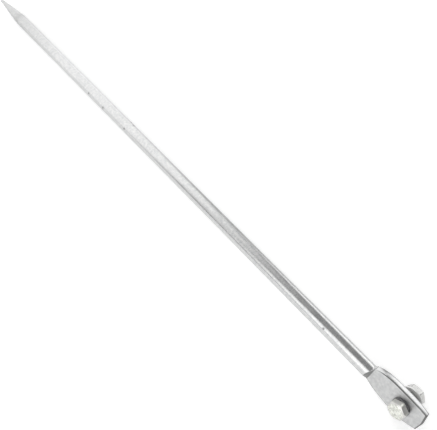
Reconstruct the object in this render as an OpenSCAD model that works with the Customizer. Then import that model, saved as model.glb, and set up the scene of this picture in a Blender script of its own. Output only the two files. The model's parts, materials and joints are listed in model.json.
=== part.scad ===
// Post anchor spike: a pointed round bar with a forged flat blade, and a bolted clamp through the blade.
// It lies on the ground as it comes to rest: on the bar, the blade's lower edge and the clamp.
// The bar runs along +X towards the blade, the bolt head faces -Y and the nuts face +Y.

/* [Bar] */
// Length from the tip of the point to the end of the blade
spike_len = 800; // [600:10:1200]
// Diameter of the round bar
bar_d = 16; // [12:0.5:20]

/* [Point] */
// Length of the drawn-down point
point_len = 61; // [40:1:90]
// Radius of the blunt nose of the point
nose_r = 2; // [1:0.1:4]

/* [Blade] */
// Length of the flat, from the foot of the shoulder to the end
blade_len = 62; // [50:1:90]
// Reach of the blade's upper side from the bar's axis, at the bolt
blade_up = 17.3; // [13:0.1:20]
// Reach of the blade's lower side from the bar's axis, at the bolt
blade_down = 15.2; // [13:0.1:20]
// Reach of the upper side at the blade's end
end_up = 14.6; // [9:0.1:17]
// Reach of the lower side at the blade's end
end_down = 9.8; // [9:0.1:17]
// Curve of the flare on the upper side: lower values fill out sooner
flare_up = 0.55; // [0.4:0.01:1.2]
// Curve of the flare on the lower side
flare_down = 0.87; // [0.4:0.01:1.2]
// Thickness between the two flat faces
blade_t = 6.2; // [4:0.1:9]
// How far the squeezed-out lower side bulges past the flat faces
side_bulge = 0.9; // [0.7:0.1:2.4]
// How far the sheared end bulges past the flat faces
end_bulge = 0.8; // [0.4:0.1:2]
// Length of the step from the bar down to the flat
shoulder_run = 4; // [2:0.5:10]
// Radius of the blade's rounded end
blade_end_r = 46; // [30:1:90]
// Distance from the bolt's axis to the end of the blade
bolt_to_end = 22.5; // [18:0.5:30]

/* [Bolt] */
// Outside diameter of the thread
thread_d = 9.86; // [8:0.02:12]
// Thread left standing past the outer nut
thread_left = 3.3; // [2:0.1:12]
// Chamfer on the end of the thread
thread_chamfer = 1; // [0.5:0.1:1.5]
// Size of the head across its flats
head_af = 17; // [15:0.5:22]
// Height of the head above its washer face
head_h = 6.6; // [4:0.1:9]
// Diameter of the head's flat top and of its washer face
head_face_d = 14.8; // [13:0.1:16.4]
// Slope of the chamfer that turns off the head's corners
head_bevel = 30; // [15:1:45]
// Height of the head's washer face
head_face_h = 0.4; // [0.2:0.1:0.8]
// Turn of the head about the bolt's axis
head_turn = 33; // [0:1:60]

/* [Spring washer] */
// Radial width of the washer's section
spring_w = 4; // [2.5:0.1:5]
// Thickness of the washer's section
spring_t = 2.2; // [1.4:0.1:3]
// Height that the washer's split ends stand apart
spring_rise = 0.4; // [0.2:0.1:2]
// Width of the split
spring_gap = 1.4; // [0.8:0.1:3]
// Direction of the split about the bolt's axis
spring_turn = 326; // [0:1:359]

/* [Nuts and flat washer] */
// Size of the inner nut across its flats
inner_nut_af = 17; // [15:0.5:18]
// Diameter of the inner nut's bearing faces
inner_face_d = 15.6; // [13:0.1:15.8]
// Size of the outer nut across its flats
outer_nut_af = 19; // [17:0.5:21]
// Diameter of the outer nut's bearing faces
outer_face_d = 17; // [14:0.1:17.4]
// Height of each nut
nut_h = 8; // [6:0.1:11]
// Slope of the chamfers that turn off the nuts' corners
nut_bevel = 30; // [15:1:45]
// Depth of the countersink at each end of the nuts' bores
nut_sink = 0.6; // [0.3:0.1:1]
// Turn of the inner nut about the bolt's axis
inner_nut_turn = 0; // [0:1:59]
// Turn of the outer nut about the bolt's axis
outer_nut_turn = 53; // [0:1:59]
// Outside diameter of the flat washer
washer_d = 24; // [18:0.5:28]
// Thickness of the flat washer
washer_t = 2; // [1.5:0.1:3]
// Chamfer on the flat washer's outer edge
washer_chamfer = 0.4; // [0.2:0.1:0.7]

/* [Fits] */
// Gap around the thread in the blade's hole
hole_clearance = 0.57; // [0.3:0.01:1]
// Gap around the thread in the nuts
thread_clearance = 0.05; // [0.02:0.01:0.1]
// Gap around the thread in the spring washer
spring_clearance = 0.12; // [0.1:0.01:0.5]
// Gap around the thread in the flat washer
washer_clearance = 0.3; // [0.1:0.01:0.6]
// Gap between faces that bear on each other
seat = 0.02; // [0.01:0.01:0.05]

/* [Hidden] */
$fn = 96;
// How far a cutting shape runs past the faces that it cuts
past = 1;

bar_r = bar_d / 2;
half_t = blade_t / 2;
thread_r = thread_d / 2;

// Stations along the bar, from the tip
foot_x = spike_len - blade_len;
shoulder_x = foot_x - shoulder_run;
flare_x = foot_x - shoulder_run / 2;
bolt_x = spike_len - bolt_to_end;

// Half depth of the ellipses that the bulged sides follow
bulge_r = half_t / sqrt(1 - pow(1 - side_bulge / blade_down, 2));

// Stations along the bolt's axis, from the middle of the blade: the head side is negative
spring_h = spring_t + spring_rise;
spring_z = -half_t - seat;
head_z = spring_z - spring_h - seat;
inner_nut_z = half_t + seat;
washer_z = inner_nut_z + nut_h + seat;
outer_nut_z = washer_z + washer_t + seat;
clamp_end_z = outer_nut_z + nut_h;
bolt_end_z = clamp_end_z + thread_left;
bolt_len = bolt_end_z - head_z;

// Radius of a hexagon's corners, and how far a chamfer runs down them
function corner_r(af) = af / 2 / cos(30);
function corner_bevel(af, face_d, slope) = (corner_r(af) - face_d / 2) * tan(slope);

// Angle from straight down to the outer nut's lowest corner
low_corner = abs(outer_nut_turn - 30);

// Lean of the blade when its lower edge and a piece of the clamp touch the ground together.
// The piece reaches down by drop and out by reach from the bar's axis.
function lean(drop, reach) =
    let (a = reach * reach - bulge_r * bulge_r,
         b = drop * reach,
         c = blade_down * blade_down - drop * drop)
    atan((sqrt(b * b + a * c) - b) / a);
roll = min(
    lean(corner_r(outer_nut_af) * cos(low_corner),
         clamp_end_z - corner_bevel(outer_nut_af, outer_face_d, nut_bevel)),
    lean(washer_d / 2, washer_z + washer_t - washer_chamfer),
    lean(thread_r, bolt_end_z)
);

// Height of the bar's axis over the ground at the blade, and the bar's slope down to the point
blade_stand = norm([blade_down * cos(roll), bulge_r * sin(roll)]);
pitch = atan((blade_stand - bar_r) / (bolt_x - point_len));

// Centre of the object's outline on the ground
front_y = (head_h + head_face_h - head_z) * cos(roll) + head_face_d / 2 * sin(roll);
back_y = bolt_end_z * cos(roll) + (thread_r - thread_chamfer) * sin(roll);
centre_y = (back_y - front_y) / 2;

module lie_on_ground() {
    lift = bar_r * cos(pitch) - point_len * sin(pitch);
    translate([-spike_len / 2 * cos(pitch), -centre_y, lift])
        rotate([0, -pitch, 0])
            rotate([-roll, 0, 0])
                children();
}

module along_bar(x) {
    translate([x, 0, 0])
        rotate([0, 90, 0])
            children();
}

module along_bolt(z) {
    translate([bolt_x, 0, 0])
        rotate([-90, 0, 0])
            translate([0, 0, z])
                children();
}

// Share of the blade's full reach at a station, on a curve from half way down the step to the bolt
function flare(x, curve) = x < bolt_x ? pow(1 - pow((bolt_x - x) / (bolt_x - flare_x), 2), curve) : 1;

// Share of the blade's narrowing at a station, on a curve from the bolt to the end
function narrowing(x) = x < bolt_x ? 0 : pow((x - bolt_x) / bolt_to_end, 2);

// Reach of one side of the blade at a station
function side_reach(x, full, end, curve) =
    bar_r + (full - bar_r) * flare(x, curve) - (full - end) * narrowing(x) - core_shrink;

// Section at a station before the flat faces are pressed: station, half depth, reach up and reach down
function blade_ring(x) = [
    x,
    bar_r + (bulge_r - bar_r) * flare(x, flare_down) - core_shrink,
    side_reach(x, blade_up, end_up, flare_up),
    side_reach(x, blade_down, end_down, flare_down)
];

// Flare stations close up towards the shoulder, where the sides turn fastest
flare_steps = 14;
end_steps = 6;
ring_sides = 40;
// Inset of the faceted blade, which starts inside the round bar
core_shrink = 0.02;
blade_stations = concat(
    [for (i = [0 : flare_steps]) bolt_x - (bolt_x - flare_x) * cos(90 * i / flare_steps)],
    [for (i = [1 : end_steps]) bolt_x + bolt_to_end * i / end_steps]
);
core_r = bar_r - core_shrink;
blade_rings = concat(
    [[shoulder_x, core_r, core_r, core_r]],
    [for (x = blade_stations) blade_ring(x)]
);

module blade_body() {
    last = len(blade_rings) - 1;
    points = [
        for (ring = blade_rings, k = [0 : ring_sides - 1])
            let (a = 360 * k / ring_sides,
                 side = sin(a) > 0 ? ring[2] : ring[3])
            [ring[0], ring[1] * cos(a), side * sin(a)]
    ];
    skin = [
        for (i = [0 : last - 1], k = [0 : ring_sides - 1])
            let (a = i * ring_sides + k,
                 b = i * ring_sides + (k + 1) % ring_sides)
            each [[a, b + ring_sides, b], [a, a + ring_sides, b + ring_sides]]
    ];
    start = [for (k = [0 : ring_sides - 1]) k];
    end = [for (k = [0 : ring_sides - 1]) (last + 1) * ring_sides - 1 - k];
    polyhedron(points, concat(skin, [start, end]));
}

// Space between the forging dies: open along the bar, closing over the shoulder to the blade's thickness
module die_gap() {
    shoulder_steps = 10;
    open = bar_r + past;
    upper = concat(
        [[0, open], [shoulder_x, open]],
        [for (i = [0 : shoulder_steps])
            [shoulder_x + shoulder_run * i / shoulder_steps,
             half_t + (bar_r - half_t) * (1 + cos(180 * i / shoulder_steps)) / 2]],
        [[spike_len + past, half_t]]
    );
    lower = [for (i = [len(upper) - 1 : -1 : 0]) [upper[i][0], -upper[i][1]]];
    linear_extrude(2 * (blade_up + blade_down), center = true)
        polygon(concat(upper, lower));
}

// What is cut away past the blade's end, which is a part of a disc's bulged rim
module blade_end_round() {
    block = 2 * (blade_up + blade_down);
    middle = (end_up - end_down) / 2;
    rim_r = (half_t * half_t + end_bulge * end_bulge) / (2 * end_bulge);
    difference() {
        translate([bolt_x, -half_t - past, middle - block / 2])
            cube([bolt_to_end + past, blade_t + 2 * past, block]);
        translate([spike_len - blade_end_r, 0, middle])
            rotate([90, 0, 0])
                rotate_extrude() {
                    translate([blade_end_r - rim_r, 0])
                        circle(r = rim_r);
                    translate([0, -rim_r])
                        square([blade_end_r - rim_r, 2 * rim_r]);
                }
    }
}

// Drawn point: a cone that runs tangent into the blunt nose
module point() {
    nose_steps = 8;
    slope = asin((bar_r - nose_r) / (point_len - nose_r));
    nose = [
        for (i = [0 : nose_steps])
            let (a = (90 - slope) * i / nose_steps)
            [nose_r * sin(a), nose_r * (1 - cos(a))]
    ];
    along_bar(0)
        rotate_extrude()
            polygon(concat(nose, [[bar_r, point_len], [0, point_len]]));
}

module spike() {
    color("gainsboro")
        lie_on_ground()
            difference() {
                union() {
                    point();
                    intersection() {
                        union() {
                            along_bar(point_len)
                                cylinder(r = bar_r, h = foot_x - point_len);
                            blade_body();
                        }
                        die_gap();
                    }
                }
                along_bolt(-half_t - past)
                    cylinder(r = thread_r + hole_clearance, h = blade_t + 2 * past);
                blade_end_round();
            }
}

// Hexagon whose corners are turned off on a slope, at the top and, if asked, at the bottom too
module turned_hexagon(af, h, face_d, slope, both_ends) {
    r = corner_r(af);
    bevel = corner_bevel(af, face_d, slope);
    bottom = both_ends ? [[face_d / 2, 0], [r, bevel]] : [[r, 0]];
    intersection() {
        cylinder(r = r, h = h, $fn = 6);
        rotate_extrude()
            polygon(concat([[0, 0]], bottom, [[r, h - bevel], [face_d / 2, h], [0, h]]));
    }
}

module hex_bolt() {
    color("whitesmoke")
        lie_on_ground()
            along_bolt(head_z) {
                translate([0, 0, -head_face_h])
                    rotate([180, 0, head_turn])
                        turned_hexagon(head_af, head_h, head_face_d, head_bevel, false);
                translate([0, 0, -head_face_h - seat])
                    cylinder(d = head_face_d, h = head_face_h + seat);
                rotate_extrude()
                    polygon([
                        [0, -head_face_h],
                        [thread_r, -head_face_h],
                        [thread_r, bolt_len - thread_chamfer],
                        [thread_r - thread_chamfer, bolt_len],
                        [0, bolt_len]
                    ]);
            }
}

// Split ring whose ends stand apart by the rise: one turn of a left-hand spring, for a right-hand thread
module spring_washer() {
    steps = 48;
    inner_r = thread_r + spring_clearance;
    outer_r = inner_r + spring_w;
    open = spring_gap / ((inner_r + outer_r) / 2) * 180 / PI;
    points = [
        for (i = [0 : steps])
            let (a = open / 2 + (360 - open) * i / steps,
                 z = spring_rise * (1 - i / steps))
            each [
                [inner_r * cos(a), inner_r * sin(a), z],
                [outer_r * cos(a), outer_r * sin(a), z],
                [outer_r * cos(a), outer_r * sin(a), z + spring_t],
                [inner_r * cos(a), inner_r * sin(a), z + spring_t]
            ]
    ];
    skin = [
        for (i = [0 : steps - 1], k = [0 : 3])
            let (a = 4 * i + k,
                 b = 4 * i + (k + 1) % 4)
            each [[a, b + 4, b], [a, a + 4, b + 4]]
    ];
    first = [0, 1, 2, 3];
    last = [for (k = [3 : -1 : 0]) 4 * steps + k];
    color("dimgray")
        lie_on_ground()
            along_bolt(spring_z - spring_h)
                rotate(spring_turn)
                    polyhedron(points, concat(skin, [first, last]));
}

module hex_nut(af, face_d) {
    bore_r = thread_r + thread_clearance;
    difference() {
        turned_hexagon(af, nut_h, face_d, nut_bevel, true);
        translate([0, 0, -past])
            cylinder(r = bore_r, h = nut_h + 2 * past);
        for (end = [0, 1])
            translate([0, 0, end * nut_h])
                rotate([180 * end, 0, 0])
                    cylinder(r1 = bore_r + nut_sink, r2 = bore_r, h = nut_sink);
    }
}

module inner_nut() {
    color("silver")
        lie_on_ground()
            along_bolt(inner_nut_z)
                rotate(inner_nut_turn)
                    hex_nut(inner_nut_af, inner_face_d);
}

module flat_washer() {
    hole_r = thread_r + washer_clearance;
    outer_r = washer_d / 2;
    color("gainsboro")
        lie_on_ground()
            along_bolt(washer_z)
                rotate_extrude()
                    polygon([
                        [hole_r, 0],
                        [outer_r, 0],
                        [outer_r, washer_t - washer_chamfer],
                        [outer_r - washer_chamfer, washer_t],
                        [hole_r, washer_t]
                    ]);
}

module outer_nut() {
    color("silver")
        lie_on_ground()
            along_bolt(outer_nut_z)
                rotate(outer_nut_turn)
                    hex_nut(outer_nut_af, outer_face_d);
}

spike();
hex_bolt();
spring_washer();
inner_nut();
flat_washer();
outer_nut();
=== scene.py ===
import json
import math

import bmesh
import bpy
from mathutils import Euler, Matrix, Vector, noise


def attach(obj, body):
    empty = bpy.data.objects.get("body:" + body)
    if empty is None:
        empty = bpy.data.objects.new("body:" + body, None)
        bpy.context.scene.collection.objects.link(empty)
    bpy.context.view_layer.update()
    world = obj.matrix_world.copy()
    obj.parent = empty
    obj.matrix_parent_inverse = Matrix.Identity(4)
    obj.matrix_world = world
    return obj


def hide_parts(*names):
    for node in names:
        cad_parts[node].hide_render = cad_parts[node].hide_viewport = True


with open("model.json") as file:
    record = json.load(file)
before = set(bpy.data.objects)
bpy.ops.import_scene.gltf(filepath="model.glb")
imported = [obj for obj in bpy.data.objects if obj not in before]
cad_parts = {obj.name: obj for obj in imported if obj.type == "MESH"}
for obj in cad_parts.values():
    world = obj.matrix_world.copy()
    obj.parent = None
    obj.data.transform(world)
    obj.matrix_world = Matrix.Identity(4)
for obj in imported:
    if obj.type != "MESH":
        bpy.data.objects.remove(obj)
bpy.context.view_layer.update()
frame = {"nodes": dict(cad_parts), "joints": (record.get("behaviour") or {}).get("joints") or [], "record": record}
print("frame loaded:", sorted(frame["nodes"]))

mm = 0.001
fullTurn = 2 * math.pi
quarterTurn = math.pi / 2

# shared by the meshes of all pieces, with lengths in mm
meshHabits = {
    "weldGap": 1e-5,
    "cornerSteps": 4,
    "cornerShare": 0.45,  # a rounding takes up no more of the side it is on
    "cornerToFlat": 30.0,  # degrees from a hexagon's corner to the middle of its side
    "landSoft": 0.12,  # eases that side into the worn corner
    "sharpDegrees": 40,
}

# the bolt's axis and the bar's direction come from the frame
boltJoint = [joint for joint in frame["joints"] if joint["name"] == "bolt_turn"][0]
shankMount = [mount for mount in frame["record"]["mounts"] if mount["name"] == "ground_shank"][0]
boltOut = Vector(boltJoint["axis"]).normalized()
barAlong = -Vector(shankMount["axis"]).normalized()
bladeUp = barAlong.cross(boltOut)
boltMiddle = Vector(boltJoint["pos_m"])


def axesMatrix(origin, along, across, upward):
    # from a piece's own axes in mm to the frame in metres
    turn = Matrix((along, across, upward)).transposed().to_4x4()
    return Matrix.Translation(origin) @ turn @ Matrix.Scale(mm, 4)


boltToRow = axesMatrix(boltMiddle, barAlong, -bladeUp, boltOut)  # z runs along the bolt, out of the nut side


def ramp(value, start, stop):
    # 0 up to start, 1 from stop on
    return min(max((value - start) / (stop - start), 0.0), 1.0)


def softMin(first, second, reach):
    # the lesser of two, eased where they are close
    near = max(reach - abs(first - second), 0.0) / reach
    return min(first, second) - near * near * reach / 4


def wrapGrid(around, along, place):
    # a flat grid rolled into a tube: place gives the point for each column and row
    bm = bmesh.new()
    bmesh.ops.create_grid(bm, x_segments=around, y_segments=along, size=0.5)
    for vert in bm.verts:
        column = round((vert.co.x + 0.5) * around) % around
        row = round((vert.co.y + 0.5) * along)
        vert.co = place(column, row)
    bmesh.ops.remove_doubles(bm, verts=bm.verts, dist=meshHabits["weldGap"])
    bmesh.ops.recalc_face_normals(bm, faces=bm.faces)
    return bm


def wrapProfiles(profiles):
    # a turned shape with its own profile of (radius, height) points in each direction
    def place(column, row):
        angle = fullTurn * column / len(profiles)
        radius, height = profiles[column][row]
        return (radius * math.cos(angle), radius * math.sin(angle), height)

    return wrapGrid(len(profiles), len(profiles[0]) - 1, place)


def roundCorners(points, radii):
    # a profile of (radius, height) points with each inner corner rounded
    steps, most = meshHabits["cornerSteps"], meshHabits["cornerShare"]
    made = [points[0]]
    for index in range(1, len(points) - 1):
        corner = Vector(points[index])
        toBack = Vector(points[index - 1]) - corner
        toFront = Vector(points[index + 1]) - corner
        reach = min(radii[index], toBack.length * most, toFront.length * most)
        start = corner + toBack.normalized() * reach
        stop = corner + toFront.normalized() * reach
        for step in range(steps + 1):
            share = step / steps
            point = start.lerp(corner, share).lerp(corner.lerp(stop, share), share)
            made.append((point.x, point.y))
    made.append(points[-1])
    return made


def hexRadius(angle, turn, halfFlats, land):
    # distance to the side of a turned hexagon, with its corners worn to a narrow land
    fromFlat = angle - math.radians(meshHabits["cornerToFlat"] + turn)
    away = math.remainder(fromFlat, fullTurn / 6)
    return softMin(halfFlats / math.cos(away), halfFlats * land, meshHabits["landSoft"])


def roundedSection(bm, inner, outer, low, high, rounding):
    # the section of a washer, ready to spin
    places = [(inner, 0, low), (outer, 0, low), (outer, 0, high), (inner, 0, high)]
    corners = [bm.verts.new(place) for place in places]
    bm.faces.new(corners)
    bmesh.ops.bevel(
        bm, geom=corners, offset=rounding, affect="VERTICES",
        segments=meshHabits["cornerSteps"], profile=0.5, material=-1,
    )


def finishPiece(
    name, bm, toRow, material, body, node, marks=None, sharpDegrees=meshHabits["sharpDegrees"],
):
    # marks are attributes for the material, each worked out from a point in the piece's own mm
    mesh = bpy.data.meshes.new(name)
    bm.to_mesh(mesh)
    bm.free()
    for mark, amountAt in (marks or {}).items():
        amounts = mesh.attributes.new(mark, "FLOAT", "POINT")
        for index, vert in enumerate(mesh.vertices):
            amounts.data[index].value = amountAt(vert.co)
    mesh.transform(toRow)
    mesh.shade_smooth()
    mesh.set_sharp_from_angle(angle=math.radians(sharpDegrees))
    piece = bpy.data.objects.new(name, mesh)
    bpy.context.scene.collection.objects.link(piece)
    mesh.materials.append(material)
    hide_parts(node)
    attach(piece, body)
    print("piece", name, len(mesh.polygons), "faces")


def toLinear(hexColour):
    channels = [int(hexColour[index:index + 2], 16) / 255 for index in (1, 3, 5)]
    return tuple(c / 12.92 if c <= 0.04045 else ((c + 0.055) / 1.055) ** 2.4 for c in channels) + (1.0,)


def addNode(tree, kind, values=None, links=None, **settings):
    made = tree.nodes.new(kind)
    for name, value in settings.items():
        setattr(made, name, value)
    for name, value in (values or {}).items():
        made.inputs[name].default_value = value
    for name, source in (links or {}).items():
        tree.links.new(source, made.inputs[name])
    return made


def perMetre(sizeMm):
    return 1 / (sizeMm * mm)


def metalFinish(look):
    # a plated or dipped metal: soft patches in tone and gloss, and a fine uneven skin
    material = bpy.data.materials.new(look["name"])
    material.use_nodes = True
    tree = material.node_tree
    tree.nodes.clear()
    place = {"Vector": addNode(tree, "ShaderNodeTexCoord").outputs["Object"]}
    noiseSpan = {"From Min": 0.3, "From Max": 0.7}  # where most of a noise lies

    # a Mix node takes its share at 0, numbers at 2 and 3 and colours at 6 and 7
    # and gives a number at 0 and a colour at 2
    patches = addNode(
        tree, "ShaderNodeTexNoise",
        {"Scale": perMetre(look["patchMm"]), "Detail": 4.0, "Roughness": 0.6}, place,
    )
    tone = addNode(tree, "ShaderNodeMapRange", noiseSpan, {"Value": patches.outputs["Fac"]})
    colour = addNode(
        tree, "ShaderNodeMix", {6: toLinear(look["dark"]), 7: toLinear(look["light"])},
        {0: tone.outputs["Result"]}, data_type="RGBA",
    ).outputs[2]
    clouds = addNode(tree, "ShaderNodeTexNoise", {"Scale": perMetre(look["cloudMm"]), "Detail": 3.0}, place)
    gloss = addNode(
        tree, "ShaderNodeMapRange", {**noiseSpan, "To Min": look["smooth"], "To Max": look["rough"]},
        {"Value": clouds.outputs["Fac"]},
    ).outputs["Result"]
    if "dullAndShade" in look:
        # places painted darker and rougher, marked on the mesh: painted shade on the spike's end, step and blade
        # edges and on the bolt head's flats, and darker towards the point, about its root and at the drips
        where = addNode(tree, "ShaderNodeAttribute", attribute_name="dullAndShade").outputs["Fac"]
        colour = addNode(
            tree, "ShaderNodeMix", {7: toLinear(look["dullAndShade"])}, {0: where, 6: colour}, data_type="RGBA",
        ).outputs[2]
        gloss = addNode(
            tree, "ShaderNodeMix", {3: look["dullRough"]}, {0: where, 2: gloss}, data_type="FLOAT",
        ).outputs[0]
    if "matteRough" in look:
        # pressed faces, rougher than the drawn bar and faintly stained
        where = addNode(tree, "ShaderNodeAttribute", attribute_name="matte").outputs["Fac"]
        gloss = addNode(
            tree, "ShaderNodeMix", {3: look["matteRough"]}, {0: where, 2: gloss}, data_type="FLOAT",
        ).outputs[0]
        stains = addNode(tree, "ShaderNodeTexNoise", {"Scale": perMetre(look["stainMm"]), "Detail": 3.0}, place)
        stained = addNode(
            tree, "ShaderNodeMapRange", {"From Min": 0.4, "From Max": 0.7, "To Max": look["stainMost"]},
            {"Value": stains.outputs["Fac"]},
        )
        stained = addNode(
            tree, "ShaderNodeMath", links={0: stained.outputs["Result"], 1: where}, operation="MULTIPLY",
        )
        colour = addNode(
            tree, "ShaderNodeMix", {7: toLinear(look["stain"])},
            {0: stained.outputs["Value"], 6: colour}, data_type="RGBA",
        ).outputs[2]
    # the zinc's own grain is finer, and is drawn as coarse as it needs to show
    grain = addNode(
        tree, "ShaderNodeTexNoise",
        {"Scale": perMetre(look["grainMm"]), "Detail": 5.0, "Roughness": 0.55}, place,
    )
    skin = addNode(
        tree, "ShaderNodeBump", {"Strength": look["grainStrength"], "Distance": look["grainDepthMm"] * mm},
        {"Height": grain.outputs["Fac"]},
    )
    shader = addNode(
        tree, "ShaderNodeBsdfPrincipled", {"Metallic": 1.0},
        {"Base Color": colour, "Roughness": gloss, "Normal": skin.outputs["Normal"]},
    )
    addNode(tree, "ShaderNodeOutputMaterial", links={"Surface": shader.outputs["BSDF"]})
    return material


# hot-dip galvanised steel, wiped smooth: satin grey with faint cloudy patches and a slightly uneven skin
galvanisedBar = metalFinish({
    "name": "hotDipGalvanisedSteel", "dark": "#C1C2C3", "light": "#D3D3D2",
    "patchMm": 3.0, "cloudMm": 14.0, "smooth": 0.16, "rough": 0.26,
    "grainMm": 1.6, "grainDepthMm": 0.05, "grainStrength": 0.35,
    # the dull colour is also painted shade on the blade's end, step and edges
    "dullAndShade": "#6E6E6D", "dullRough": 0.5,
    "matteRough": 0.46, "stain": "#959596", "stainMm": 3.2, "stainMost": 0.28,
})
# bright zinc-plated steel: a paler, slightly warm and mottled electroplated skin over cold-headed steel
zincBolt = metalFinish({
    "name": "brightZincPlatedBolt", "dark": "#B4B5AE", "light": "#F8F9F2",
    "patchMm": 1.8, "cloudMm": 6.0, "smooth": 0.22, "rough": 0.34,
    "grainMm": 0.8, "grainDepthMm": 0.03, "grainStrength": 0.3,
    # the dull colour is painted shade on the head's flats
    "dullAndShade": "#CAC9C6", "dullRough": 0.3,
})
# zinc-plated nuts: a plain grey plating with a satin shine
zincNut = metalFinish({
    "name": "zincPlatedNut", "dark": "#B6B6B5", "light": "#CECECC",
    "patchMm": 2.0, "cloudMm": 6.0, "smooth": 0.2, "rough": 0.3,
    "grainMm": 0.8, "grainDepthMm": 0.03, "grainStrength": 0.3,
})
# zinc-plated washer, tumbled after it was punched: matt, and painted pale as painted light where it sits in shade
# behind the blade
zincWasherPaintedPale = metalFinish({
    "name": "zincWasherPaintedLight", "dark": "#E6E6E5", "light": "#F2F2F1",
    "patchMm": 2.0, "cloudMm": 8.0, "smooth": 0.68, "rough": 0.78,
    "grainMm": 0.8, "grainDepthMm": 0.03, "grainStrength": 0.3,
})
# hardened spring steel, plated thin, darker and duller than the bolt: the dark is partly painted shade for the gap
# under the head
springSteelAndShade = metalFinish({
    "name": "springSteelPaintedDark", "dark": "#6A6A6B", "light": "#848486",
    "patchMm": 2.0, "cloudMm": 5.0, "smooth": 0.34, "rough": 0.46,
    "grainMm": 0.8, "grainDepthMm": 0.03, "grainStrength": 0.3,
})
print("finishes made")


# the forged spike: a round bar, drawn to a point and pressed flat at the other end
# x runs along the bar, y along the bolt to the nuts, z up the blade
spikeSizes = {
    "length": 799.98,
    "barRadius": 7.99,
    "noseRadius": 2.0,
    "pointLength": 61.0, "pointBlend": 0.5,
    "shoulderAt": 734.0,
    # the step from bar to blade is short on top and long on the lower side
    "stepFrom": 735.0, "stepSlant": 4.9, "stepCurve": 4,
    "flatAt": 739.6, "flatTilt": 0.09,
    "boltAt": 777.5, "holeRadius": 5.5,
    "halfThickness": 3.1,
    # the blade's reach each way from the bar's axis, where it is widest and how it comes in to its end
    "flareAt": 738.3,
    "upper": {"reach": 16.5, "end": 13.7, "flare": 0.5, "widestAt": 764.0, "fall": 3.0},
    "lower": {"reach": 14.95, "end": 9.8, "flare": 0.83, "widestAt": 777.5, "fall": 2.0},
    # half the section's depth before it is pressed flat
    "depth": {"reach": 9.15, "end": 9.15, "flare": 0.83, "widestAt": 777.5, "fall": 2.0},
    # the rim is nearly flat, then falls off to the faces
    "rimFlat": 0.75, "rimSlope": 0.21, "edgeSlope": 0.9, "edgeRound": 0.25,
    # the end bulges, and is snipped to a blunt angle
    "endBulge": 0.8, "endSlope": 0.13, "endSoft": 0.8, "endMiddle": 1.0,
    "sharpDegrees": 25,
    # the zinc's slow unevenness along the bar, and the hammer marks about the root of the point
    "skinFrom": 6.0, "waveMm": 26.0, "waveDepth": 0.05,
    "hammerMm": 7.0, "hammerTurns": 2.2, "hammerDepth": 0.12, "hammerReach": 16.0,
    "dripReach": 3,  # a drip ends this many sizes away
    "drips": [
        # zinc pimples and a dent or two: station, angle about the bar, height, size
        (254.9, 170, 0.35, 0.9),
        (288.3, 169, 0.5, 1.1),
        (335.6, 165, 0.25, 0.9),
        (334.3, 64, 0.2, 0.9),
        (341.0, 72, -0.25, 1.0),
        (679.8, 154, 0.2, 0.8),
    ],
    # where the zinc is painted darker: painted shade on the end, the step and the blade's edges, and darker
    # towards the point and at the drips: how much, and over which stretch
    "wearAndShade": {
        # painted shade over this depth of the end, on top of the rougher cut
        "endDepth": 0.45,
        # painted shade on the step from bar to blade
        "stepShade": 0.75, "stepMargin": 0.02,  # left out at both ends of the step
        # painted shade along the blade's edges, a dark reflection painted on, and the stations where it comes and
        # goes
        "edgeStart": 1.0, "edgeOut": 0.82, "edgeMargin": 0.4,
        "edgeShadeIn": (740.0, 749.0), "edgeShadeOut": (785.0, 790.0), "edgeShadeLost": 0.5,
        "pointDull": 0.2, "pointFade": 120.0,
        "rootDull": 0.15, "rootReach": 9.0,
        "dripSpread": 1.5,
        "faceOut": 0.985,  # the matt faces lie beyond this share of the half thickness
    },
    # how closely the mesh follows it
    "rows": {
        "nose": 8, "noseDegrees": 84,
        "pointFrom": 4.0, "pointStep": 2.0, "pointStop": 3.0,
        "root": 8, "rootBefore": 2.0, "rootStep": 0.7,
        "barFrom": 5.0, "barStep": 4.0, "barStop": 1.0,
        "drip": 7, "dripNear": 2.6,
        "leadShares": (0.3, 0.5, 0.65, 0.8, 0.9, 0.97),
        "step": 16, "blade": 60, "end": 40, "turn": 6, "cap": 8,
        # columns up to each angle of a quarter, close where the flats end
        "quarter": [(54, 10), (64, 5), (73, 18), (90, 9)],
        "drillSides": 96, "drillLength": 18.6,
    },
}
partToRow = axesMatrix(boltMiddle - barAlong * spikeSizes["boltAt"] * mm, barAlong, boltOut, bladeUp)


def barRadiusAt(x):
    s = spikeSizes
    slope = math.asin((s["barRadius"] - s["noseRadius"]) / (s["pointLength"] - s["noseRadius"]))
    noseEnd = s["noseRadius"] * (1 - math.sin(slope))
    if x <= noseEnd:
        return math.sqrt(max(s["noseRadius"] ** 2 - (s["noseRadius"] - x) ** 2, 0.0))
    noseEndRadius = s["noseRadius"] * math.cos(slope)
    cone = noseEndRadius + (s["barRadius"] - noseEndRadius) * (x - noseEnd) / (s["pointLength"] - noseEnd)
    return softMin(cone, s["barRadius"], s["pointBlend"])


def bladeSide(z):
    return spikeSizes["upper" if z > 0 else "lower"]


def bladeReach(x, side):
    # how far one side of the blade stands from the bar's axis at a station
    s = spikeSizes
    widest = side["widestAt"]
    if x >= widest:
        past = (x - widest) / (s["length"] - widest)
        return side["reach"] - (side["reach"] - side["end"]) * past ** side["fall"]
    away = min((widest - x) / (widest - s["flareAt"]), 1.0)
    return s["barRadius"] + (side["reach"] - s["barRadius"]) * (1 - away * away) ** side["flare"]


def rimDrop(y):
    # how far the blade's rim has fallen away from its crest
    s = spikeSizes
    flat = s["rimFlat"] * s["halfThickness"]
    past = max(y - flat, 0.0)
    drop = s["rimSlope"] / (2 * flat) * min(y, flat) ** 2 + s["rimSlope"] * past
    return drop + (s["edgeSlope"] - s["rimSlope"]) / (2 * (s["halfThickness"] - flat)) * past * past


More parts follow.
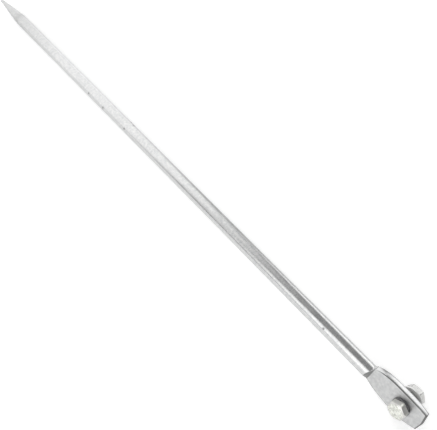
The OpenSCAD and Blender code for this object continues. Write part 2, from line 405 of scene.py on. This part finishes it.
def stepEnds(z):
    # where the step from bar to blade starts and ends, at a height up the bar
    s = spikeSizes
    high = ramp(z / s["barRadius"], -1, 1)
    return s["stepFrom"] + s["stepSlant"] * high ** s["stepCurve"], s["flatAt"] + s["flatTilt"] * z


def stepShare(x, z):
    # how far down the step a station is: 0 on the bar, 1 on the blade
    return ramp(x, *stepEnds(z))


def bladeSection(x, angle, inset=0.0):
    # out along the bolt and up the blade, at a station along the bar
    s = spikeSizes
    depth = bladeReach(x, s["depth"])
    reach = bladeReach(x, bladeSide(math.sin(angle)))
    share = stepShare(x, s["barRadius"] * math.sin(angle))
    half = s["halfThickness"]
    out, up = depth * abs(math.cos(angle)), abs(math.sin(angle))
    if out < half:
        pressed = reach - rimDrop(out)
    else:
        pressed = (reach - rimDrop(half)) * up / math.sqrt(1 - (half / depth) ** 2)
    z = reach * up + (pressed - reach * up) * share * share
    y = (out + (softMin(out, half, s["edgeRound"]) - out) * share) * (1 - inset / half)
    return math.copysign(y, math.cos(angle)), math.copysign(max(z - inset, 0.0), math.sin(angle))


def bladeEnd(y, z):
    # how far the bulged, snipped end reaches at this point of the section
    s = spikeSizes
    rim = (s["halfThickness"] ** 2 + s["endBulge"] ** 2) / (2 * s["endBulge"])
    bulge = rim - math.sqrt(max(rim * rim - y * y, 0.0))
    snip = s["endSlope"] * (math.hypot(z - s["endMiddle"], s["endSoft"]) - s["endSoft"])
    return s["length"] - bulge - snip


def barSkin(x, angle):
    # how far the dipped surface stands off a true bar: slow waves, hammer marks by the point, and drips
    s = spikeSizes
    across, upward = math.cos(angle), math.sin(angle)
    calm = ramp(s["shoulderAt"] - x, s["rows"]["barStop"], s["waveMm"])  # the waves die out before the step
    wave = noise.noise(Vector((x / s["waveMm"], across, upward)))
    stand = (wave - 1) * s["waveDepth"] / 2 * calm
    marks = max(1 - abs(x - s["pointLength"]) / s["hammerReach"], 0.0)
    turns = s["hammerTurns"]
    blow = noise.noise(Vector((x / s["hammerMm"], turns * across, turns * upward)))
    stand += (blow - 1) * s["hammerDepth"] * marks
    for at, turn, height, size in s["drips"]:
        along = (x - at) / size
        if abs(along) < s["dripReach"]:
            side = math.remainder(angle - math.radians(turn), fullTurn) * s["barRadius"] / size
            stand += height * math.exp(-along * along - side * side)
    return stand


def spikeRows():
    # where the rows of the mesh are: stations on the bar, and from there on shares of each stretch
    s, r = spikeSizes, spikeSizes["rows"]
    noseTurn = math.radians(r["noseDegrees"])
    stations = [s["noseRadius"] * (1 - math.cos(noseTurn * step / r["nose"])) for step in range(r["nose"] + 1)]
    x = r["pointFrom"]
    while x < s["pointLength"] - r["pointStop"]:
        stations.append(x)
        x += r["pointStep"]
    stations += [s["pointLength"] - r["rootBefore"] + step * r["rootStep"] for step in range(r["root"] + 1)]
    first, last = s["pointLength"] + r["barFrom"], s["shoulderAt"] - r["barStop"]
    count = int((last - first) / r["barStep"])
    plain = [first + (last - first) * step / count for step in range(count + 1)]
    plain = [x for x in plain if all(abs(x - drip[0]) > r["dripNear"] for drip in s["drips"])]
    for drip in s["drips"]:
        plain += [drip[0] + r["dripNear"] * step / r["drip"] for step in range(-r["drip"], r["drip"] + 1)]
    rows = [("bar", x) for x in stations + sorted(plain)]
    rows += [("lead", share) for share in r["leadShares"]]
    rows += [("step", step / r["step"]) for step in range(r["step"] + 1)]
    rows += [("blade", 1 - math.cos(quarterTurn * step / r["blade"])) for step in range(1, r["blade"] + 1)]
    rows += [("end", step / r["end"]) for step in range(1, r["end"] + 1)]
    rows += [("turn", quarterTurn * step / r["turn"]) for step in range(1, r["turn"] + 1)]
    rows += [("cap", 1 - step / r["cap"]) for step in range(1, r["cap"] + 1)]
    return rows


def rimAngles():
    # the columns of the mesh, the same in each quarter
    quarter, start = [], 0.0
    for stop, count in spikeSizes["rows"]["quarter"]:
        quarter += [math.radians(start + (stop - start) * step / count) for step in range(count)]
        start = stop
    half = quarter + [quarterTurn] + [math.pi - angle for angle in reversed(quarter[1:])]
    return half + [math.pi + angle for angle in half]


def makeSpike():
    s = spikeSizes
    rows = spikeRows()
    rim = rimAngles()
    rounding = s["edgeRound"]
    barStop = s["shoulderAt"] - s["rows"]["barStop"]

    def place(column, row):
        kind, value = rows[row]
        angle = rim[column]
        if kind == "bar":
            radius = barRadiusAt(value) + (barSkin(value, angle) if value > s["skinFrom"] else 0.0)
            return (value, radius * math.cos(angle), radius * math.sin(angle))
        if kind in ("lead", "step", "blade"):
            start, stop = stepEnds(s["barRadius"] * math.sin(angle))
            spans = {"lead": (barStop, start), "step": (start, stop), "blade": (stop, s["boltAt"])}
            low, high = spans[kind]
            x = low + value * (high - low)
            return (x, *bladeSection(x, angle))
        if kind == "end":
            nominal = s["boltAt"] + value * (s["length"] - s["boltAt"])
            y, z = bladeSection(nominal, angle)
            return (s["boltAt"] + value * (bladeEnd(y, z) - rounding - s["boltAt"]), y, z)
        if kind == "turn":
            y, z = bladeSection(s["length"], angle, rounding * (1 - math.cos(value)))
            return (bladeEnd(y, z) - rounding * (1 - math.sin(value)), y, z)
        y, z = bladeSection(s["length"], angle, rounding)
        y, z = y * value, s["endMiddle"] + (z - s["endMiddle"]) * value
        return (bladeEnd(y, z), y, z)

    return wrapGrid(len(rim), len(rows) - 1, place)


def drillHole(bm):
    # the bolt hole, cut straight through the blade
    s, r = spikeSizes, spikeSizes["rows"]
    drill = bmesh.new()
    bmesh.ops.create_cone(
        drill, cap_ends=True, segments=r["drillSides"],
        radius1=s["holeRadius"], radius2=s["holeRadius"], depth=r["drillLength"],
        matrix=Matrix.Translation((s["boltAt"], 0, 0)) @ Matrix.Rotation(quarterTurn, 4, "X"),
    )
    parts = []
    for name, shape in (("blank", bm), ("drill", drill)):
        mesh = bpy.data.meshes.new(name)
        shape.to_mesh(mesh)
        shape.free()
        parts.append(bpy.data.objects.new(name, mesh))
        bpy.context.scene.collection.objects.link(parts[-1])
    cut = parts[0].modifiers.new("hole", "BOOLEAN")
    cut.operation = "DIFFERENCE"
    cut.solver = "EXACT"
    cut.object = parts[1]
    drilled = parts[0].evaluated_get(bpy.context.evaluated_depsgraph_get()).to_mesh()
    made = bmesh.new()
    made.from_mesh(drilled)
    for part in parts:
        bpy.data.meshes.remove(part.data)
    bmesh.ops.recalc_face_normals(made, faces=made.faces)
    return made


def pressedShare(point):
    # how far down the step a point of the skin is
    reach = bladeReach(point.x, bladeSide(point.z))
    return stepShare(point.x, point.z * spikeSizes["barRadius"] / reach)


def shadeAndDullSpike(point):
    # painted shade on the sheared end, the blade's edges and the step, and darker towards the point, about its
    # root and at the drips
    s, wearAndShade = spikeSizes, spikeSizes["wearAndShade"]
    x, y, z = point
    # painted shade on the sheared end face, which is also rougher
    if x > s["boltAt"] and x > bladeEnd(y, z) - wearAndShade["endDepth"]:
        return 1.0
    # painted shade along the blade's edges
    if x > s["flatAt"] + wearAndShade["edgeStart"]:
        faceEdge = bladeReach(x, bladeSide(z)) - rimDrop(s["halfThickness"])
        if abs(y) < wearAndShade["edgeOut"] * s["halfThickness"] or abs(z) < faceEdge - wearAndShade["edgeMargin"]:
            return 0.0
        return ramp(x, *wearAndShade["edgeShadeIn"]) * (1 - ramp(x, *wearAndShade["edgeShadeOut"]) * wearAndShade["edgeShadeLost"])
    # painted shade on the step
    if x > s["shoulderAt"]:
        return wearAndShade["stepShade"] if wearAndShade["stepMargin"] < pressedShare(point) < 1 - wearAndShade["stepMargin"] else 0.0
    worst = wearAndShade["pointDull"] * (1 - ramp(x, s["pointLength"], s["pointLength"] + wearAndShade["pointFade"]))
    worst += wearAndShade["rootDull"] * max(1 - abs(x - s["pointLength"]) / wearAndShade["rootReach"], 0.0)
    for at, turn, _, size in s["drips"]:
        side = math.remainder(math.atan2(z, y) - math.radians(turn), fullTurn) * s["barRadius"]
        worst = max(worst, math.exp(-((x - at) ** 2 + side * side) / (wearAndShade["dripSpread"] * size * size)))
    return worst


def matteSpike(point):
    # the pressed faces of the blade
    s, wearAndShade = spikeSizes, spikeSizes["wearAndShade"]
    onFace = abs(point.y) > wearAndShade["faceOut"] * s["halfThickness"]
    return 1.0 if onFace and pressedShare(point) > 1 - wearAndShade["stepMargin"] else 0.0


finishPiece(
    "forgedSpike", drillHole(makeSpike()), partToRow, galvanisedBar, "spike", "spike",
    {"dullAndShade": shadeAndDullSpike, "matte": matteSpike}, spikeSizes["sharpDegrees"],
)


# the bolt, with its rolled thread
boltSizes = {
    "threadRadius": 4.93, "threadDepth": 0.86, "pitch": 1.5,
    "crestTo": 0.14, "rootFrom": 0.82,  # shares of half a pitch, with the flank between them
    "threadStart": -4.0,
    "end": 24.459, "endChamfer": 1.0,
    "headFlats": 17.0, "headTurn": 33.0,
    "headTop": -12.74, "headBottom": -6.14, "underHead": -5.74,
    "headFaceRadius": 7.4, "headBevel": 30.0,
    "headEdge": 0.35, "lowerEdge": 0.12, "washerEdge": 0.1, "neckRound": 0.2,
    "cornerLand": 1.112,  # corners worn back to this many half flats
    # radii between which the painted shade on a flat gives way to a bright corner, and the depth of the bright
    # face
    "flatsTo": 9.08, "brightCornerFrom": 9.38, "faceDepth": 0.15,
    "around": 180, "rowsPerPitch": 12,
}


def threadRadiusAt(height, angle):
    # right-hand thread: the crest climbs one pitch in each turn
    b = boltSizes
    share = (height / b["pitch"] - angle / fullTurn) % 1.0
    away = 2 * min(share, 1 - share)
    return b["threadRadius"] - b["threadDepth"] * ramp(away, b["crestTo"], b["rootFrom"])


def makeBolt():
    b = boltSizes
    core = b["threadRadius"] - b["threadDepth"]
    slope = math.tan(math.radians(b["headBevel"]))
    threadLength = b["end"] - b["threadStart"]
    threadRows = int(threadLength / b["pitch"] * b["rowsPerPitch"])
    profiles = []
    for column in range(b["around"]):
        angle = fullTurn * column / b["around"]
        side = hexRadius(angle, b["headTurn"], b["headFlats"] / 2, b["cornerLand"])
        profile = roundCorners(
            [
                (0.0, b["headTop"]),
                (b["headFaceRadius"], b["headTop"]),
                (side, b["headTop"] + (side - b["headFaceRadius"]) * slope),
                (side, b["headBottom"]),
                (b["headFaceRadius"], b["headBottom"]),
                (b["headFaceRadius"], b["underHead"]),
                (core, b["underHead"]),
                (core, b["threadStart"]),
            ],
            [
                0, b["headEdge"], b["headEdge"], b["lowerEdge"],
                b["washerEdge"], b["washerEdge"], b["neckRound"], 0,
            ],
        )
        for row in range(1, threadRows + 1):
            height = b["threadStart"] + threadLength * row / threadRows
            bevel = b["threadRadius"] - max(height - (b["end"] - b["endChamfer"]), 0.0)
            fade = min((height - b["threadStart"]) / b["pitch"], 1.0)
            profile.append((min(core + (threadRadiusAt(height, angle) - core) * fade, bevel), height))
        profile.append((0.0, b["end"]))
        profiles.append(profile)
    return wrapProfiles(profiles)


def shadedHeadFlats(point):
    # painted shade: the trimmed flats of the head are painted darker than its face and its corners
    b = boltSizes
    if not b["headTop"] + b["faceDepth"] < point.z < b["underHead"]:
        return 0.0
    return 1 - ramp(math.hypot(point.x, point.y), b["flatsTo"], b["brightCornerFrom"])


finishPiece(
    "threadedHexBolt", makeBolt(), boltToRow, zincBolt, "bolt_set", "hex_bolt",
    {"dullAndShade": shadedHeadFlats},
)


# the split spring washer under the head
springSizes = {
    "inner": 5.05,
    "outer": 9.05,
    "thickness": 2.2,
    "rise": 0.4,
    "gap": 1.4,
    "bladeFace": -3.12,
    "splitAt": 326.0,
    "edgeRound": 0.3,
    "steps": 120,
}


def makeSpringWasher():
    w = springSizes
    opening = w["gap"] / ((w["inner"] + w["outer"]) / 2)
    bm = bmesh.new()
    roundedSection(
        bm, w["inner"], w["outer"], w["bladeFace"] - w["thickness"], w["bladeFace"], w["edgeRound"],
    )
    start = Matrix.Rotation(math.radians(w["splitAt"]) + opening / 2, 3, "Z")
    bmesh.ops.rotate(bm, verts=bm.verts, cent=(0, 0, 0), matrix=start)
    bmesh.ops.spin(
        bm, geom=bm.verts[:] + bm.edges[:] + bm.faces[:], cent=(0, 0, 0), axis=(0, 0, 1),
        dvec=(0, 0, -w["rise"] / w["steps"]), angle=fullTurn - opening, steps=w["steps"], use_duplicate=False,
    )
    bmesh.ops.recalc_face_normals(bm, faces=bm.faces)
    return bm


finishPiece(
    "splitSpringWasher", makeSpringWasher(), boltToRow, springSteelAndShade,
    "bolt_set", "spring_washer",
)


# the two nuts, with threads that mesh with the bolt's
nutSizes = {
    "height": 8.0,
    "inner": {"at": 3.12, "turn": 0.0, "flats": 17.0, "faceRadius": 7.8},
    "outer": {"at": 13.16, "turn": 53.0, "flats": 19.0, "faceRadius": 8.5},
    "bevel": 30.0,
    "edge": 0.35,
    "cornerLand": 1.148,
    "sinkRadius": 5.5,  # the countersink at each end of the thread
    "lipIn": 0.3, "lipUp": 0.2, "lipEdge": 0.15,
    "minorRadius": 4.22,
    "threadGap": 0.07,
    "around": 144,
}


def makeNut(which):
    n = {**nutSizes, **nutSizes[which]}
    slope = math.tan(math.radians(n["bevel"]))
    base, top = n["at"], n["at"] + n["height"]
    threadRows = int(n["height"] / boltSizes["pitch"] * boltSizes["rowsPerPitch"])
    profiles = []
    for column in range(n["around"]):
        angle = fullTurn * column / n["around"]
        side = hexRadius(angle, n["turn"], n["flats"] / 2, n["cornerLand"])
        bevel = (side - n["faceRadius"]) * slope
        profile = roundCorners(
            [
                (n["sinkRadius"] - n["lipIn"], base + n["lipUp"]),
                (n["sinkRadius"], base),
                (n["faceRadius"], base),
                (side, base + bevel),
                (side, top - bevel),
                (n["faceRadius"], top),
                (n["sinkRadius"], top),
                (n["sinkRadius"] - n["lipIn"], top - n["lipUp"]),
            ],
            [0, n["lipEdge"], n["edge"], n["edge"], n["edge"], n["edge"], n["lipEdge"], 0],
        )
        for row in range(1, threadRows):
            height = top - n["lipUp"] - (n["height"] - 2 * n["lipUp"]) * row / threadRows
            sink = n["sinkRadius"] - min(height - base, top - height)
            thread = threadRadiusAt(height, angle) + n["threadGap"]
            profile.append((max(thread, n["minorRadius"], sink), height))
        profile.append(profile[0])
        profiles.append(profile)
    return wrapProfiles(profiles)


finishPiece("innerLockNut", makeNut("inner"), boltToRow, zincNut, "bolt_set", "inner_nut")
finishPiece("outerClampNut", makeNut("outer"), boltToRow, zincNut, "clamp_nut", "outer_nut")


# the punched flat washer between the nuts
washerSizes = {
    "hole": 5.23,
    "outer": 11.98,
    "low": 11.14,
    "high": 13.14,
    "edgeRound": 0.35,
    "steps": 144,
}


def makeFlatWasher():
    w = washerSizes
    bm = bmesh.new()
    roundedSection(bm, w["hole"], w["outer"], w["low"], w["high"], w["edgeRound"])
    bmesh.ops.delete(bm, geom=bm.faces[:], context="FACES_ONLY")
    bmesh.ops.spin(
        bm, geom=bm.verts[:] + bm.edges[:], cent=(0, 0, 0), axis=(0, 0, 1),
        angle=fullTurn, steps=w["steps"], use_merge=True, use_duplicate=False,
    )
    bmesh.ops.recalc_face_normals(bm, faces=bm.faces)
    return bm


finishPiece(
    "punchedFlatWasher", makeFlatWasher(), boltToRow, zincWasherPaintedPale,
    "clamp_washer", "flat_washer",
)


# floor, light and camera
stageLook = {
    "floorColour": "#FBFBFB",
    "floorSize": 60.0, "floorCells": 8,
    "floorGlow": 0.34,  # lifts the paper to white where it is seen, by eye or in the metal
    "skyColour": "#FFFFFF",
    "roomLevel": 0.34,  # dim room around the table
    "softBoxes": [
        # a large one off the point's end, one in front and one behind: the way to it, how far it spreads
        {"toward": (-0.97, 0.0, 0.24), "innerDeg": 47, "outerDeg": 61, "level": 1.06},
        {"toward": (0.16, -0.9, 0.46), "innerDeg": 20, "outerDeg": 40, "level": 1.4},
        {"toward": (0.0, 0.86, 0.5), "innerDeg": 10, "outerDeg": 29, "level": 1.3},
    ],
    "cameraPlace": (0.40469, -0.27008, 0.55642),
    "cameraTurn": (36.301, -2.108, 50.859),
    "lens": 50.054, "sensor": 36.0, "nearest": 0.01,
}


def makeFloor():
    bm = bmesh.new()
    cells = stageLook["floorCells"]
    bmesh.ops.create_grid(bm, x_segments=cells, y_segments=cells, size=stageLook["floorSize"] / 2)
    mesh = bpy.data.meshes.new("paleFloor")
    bm.to_mesh(mesh)
    bm.free()
    floor = bpy.data.objects.new("paleFloor", mesh)
    bpy.context.scene.collection.objects.link(floor)
    # matt white paper: a plain white ground that keeps a soft shadow
    material = bpy.data.materials.new("palePaper")
    material.use_nodes = True
    tree = material.node_tree
    tree.nodes.clear()
    paper = addNode(tree, "ShaderNodeBsdfDiffuse", {"Color": toLinear(stageLook["floorColour"])})
    ray = addNode(tree, "ShaderNodeLightPath")
    seen = ray.outputs["Is Camera Ray"]
    for way in ("Is Glossy Ray", "Is Transmission Ray"):
        seen = addNode(
            tree, "ShaderNodeMath", links={0: seen, 1: ray.outputs[way]}, operation="MAXIMUM",
        ).outputs["Value"]
    lift = addNode(tree, "ShaderNodeMath", {1: stageLook["floorGlow"]}, {0: seen}, operation="MULTIPLY")
    glow = addNode(tree, "ShaderNodeEmission", links={"Strength": lift.outputs["Value"]})
    both = addNode(tree, "ShaderNodeAddShader", links={0: paper.outputs["BSDF"], 1: glow.outputs["Emission"]})
    addNode(tree, "ShaderNodeOutputMaterial", links={"Surface": both.outputs["Shader"]})
    mesh.materials.append(material)


def makeWorld():
    world = bpy.data.worlds.new("softStudio")
    bpy.context.scene.world = world
    world.use_nodes = True
    tree = world.node_tree
    tree.nodes.clear()
    toSky = addNode(tree, "ShaderNodeTexCoord").outputs["Generated"]
    room, lit = {1: stageLook["roomLevel"]}, {}
    for box in stageLook["softBoxes"]:
        toward = Vector(box["toward"]).normalized()
        facing = addNode(tree, "ShaderNodeVectorMath", {1: toward}, {0: toSky}, operation="DOT_PRODUCT")
        glow = addNode(
            tree, "ShaderNodeMapRange",
            {
                "From Min": math.cos(math.radians(box["outerDeg"])),
                "From Max": math.cos(math.radians(box["innerDeg"])),
                "To Min": 0.0, "To Max": box["level"],
            },
            {"Value": facing.outputs["Value"]}, interpolation_type="SMOOTHSTEP",
        ).outputs["Result"]
        # the first box adds to the room's level, the next ones to what is lit so far
        level = addNode(tree, "ShaderNodeMath", room, {0: glow, **lit}, operation="ADD").outputs["Value"]
        room, lit = {}, {1: level}
    sky = addNode(
        tree, "ShaderNodeBackground", {"Color": toLinear(stageLook["skyColour"])}, {"Strength": level},
    )
    addNode(tree, "ShaderNodeOutputWorld", links={"Surface": sky.outputs["Background"]})


def makeCamera():
    lens = bpy.data.cameras.new("photoCamera")
    lens.lens = stageLook["lens"]
    lens.sensor_fit = "HORIZONTAL"
    lens.sensor_width = stageLook["sensor"]
    lens.clip_start = stageLook["nearest"]
    camera = bpy.data.objects.new("photoCamera", lens)
    camera.location = stageLook["cameraPlace"]
    camera.rotation_euler = Euler([math.radians(angle) for angle in stageLook["cameraTurn"]], "XYZ")
    bpy.context.scene.collection.objects.link(camera)
    bpy.context.scene.camera = camera


makeFloor()
makeWorld()
makeCamera()
bpy.context.scene.view_settings.view_transform = "Standard"
print("stage, light and camera set")
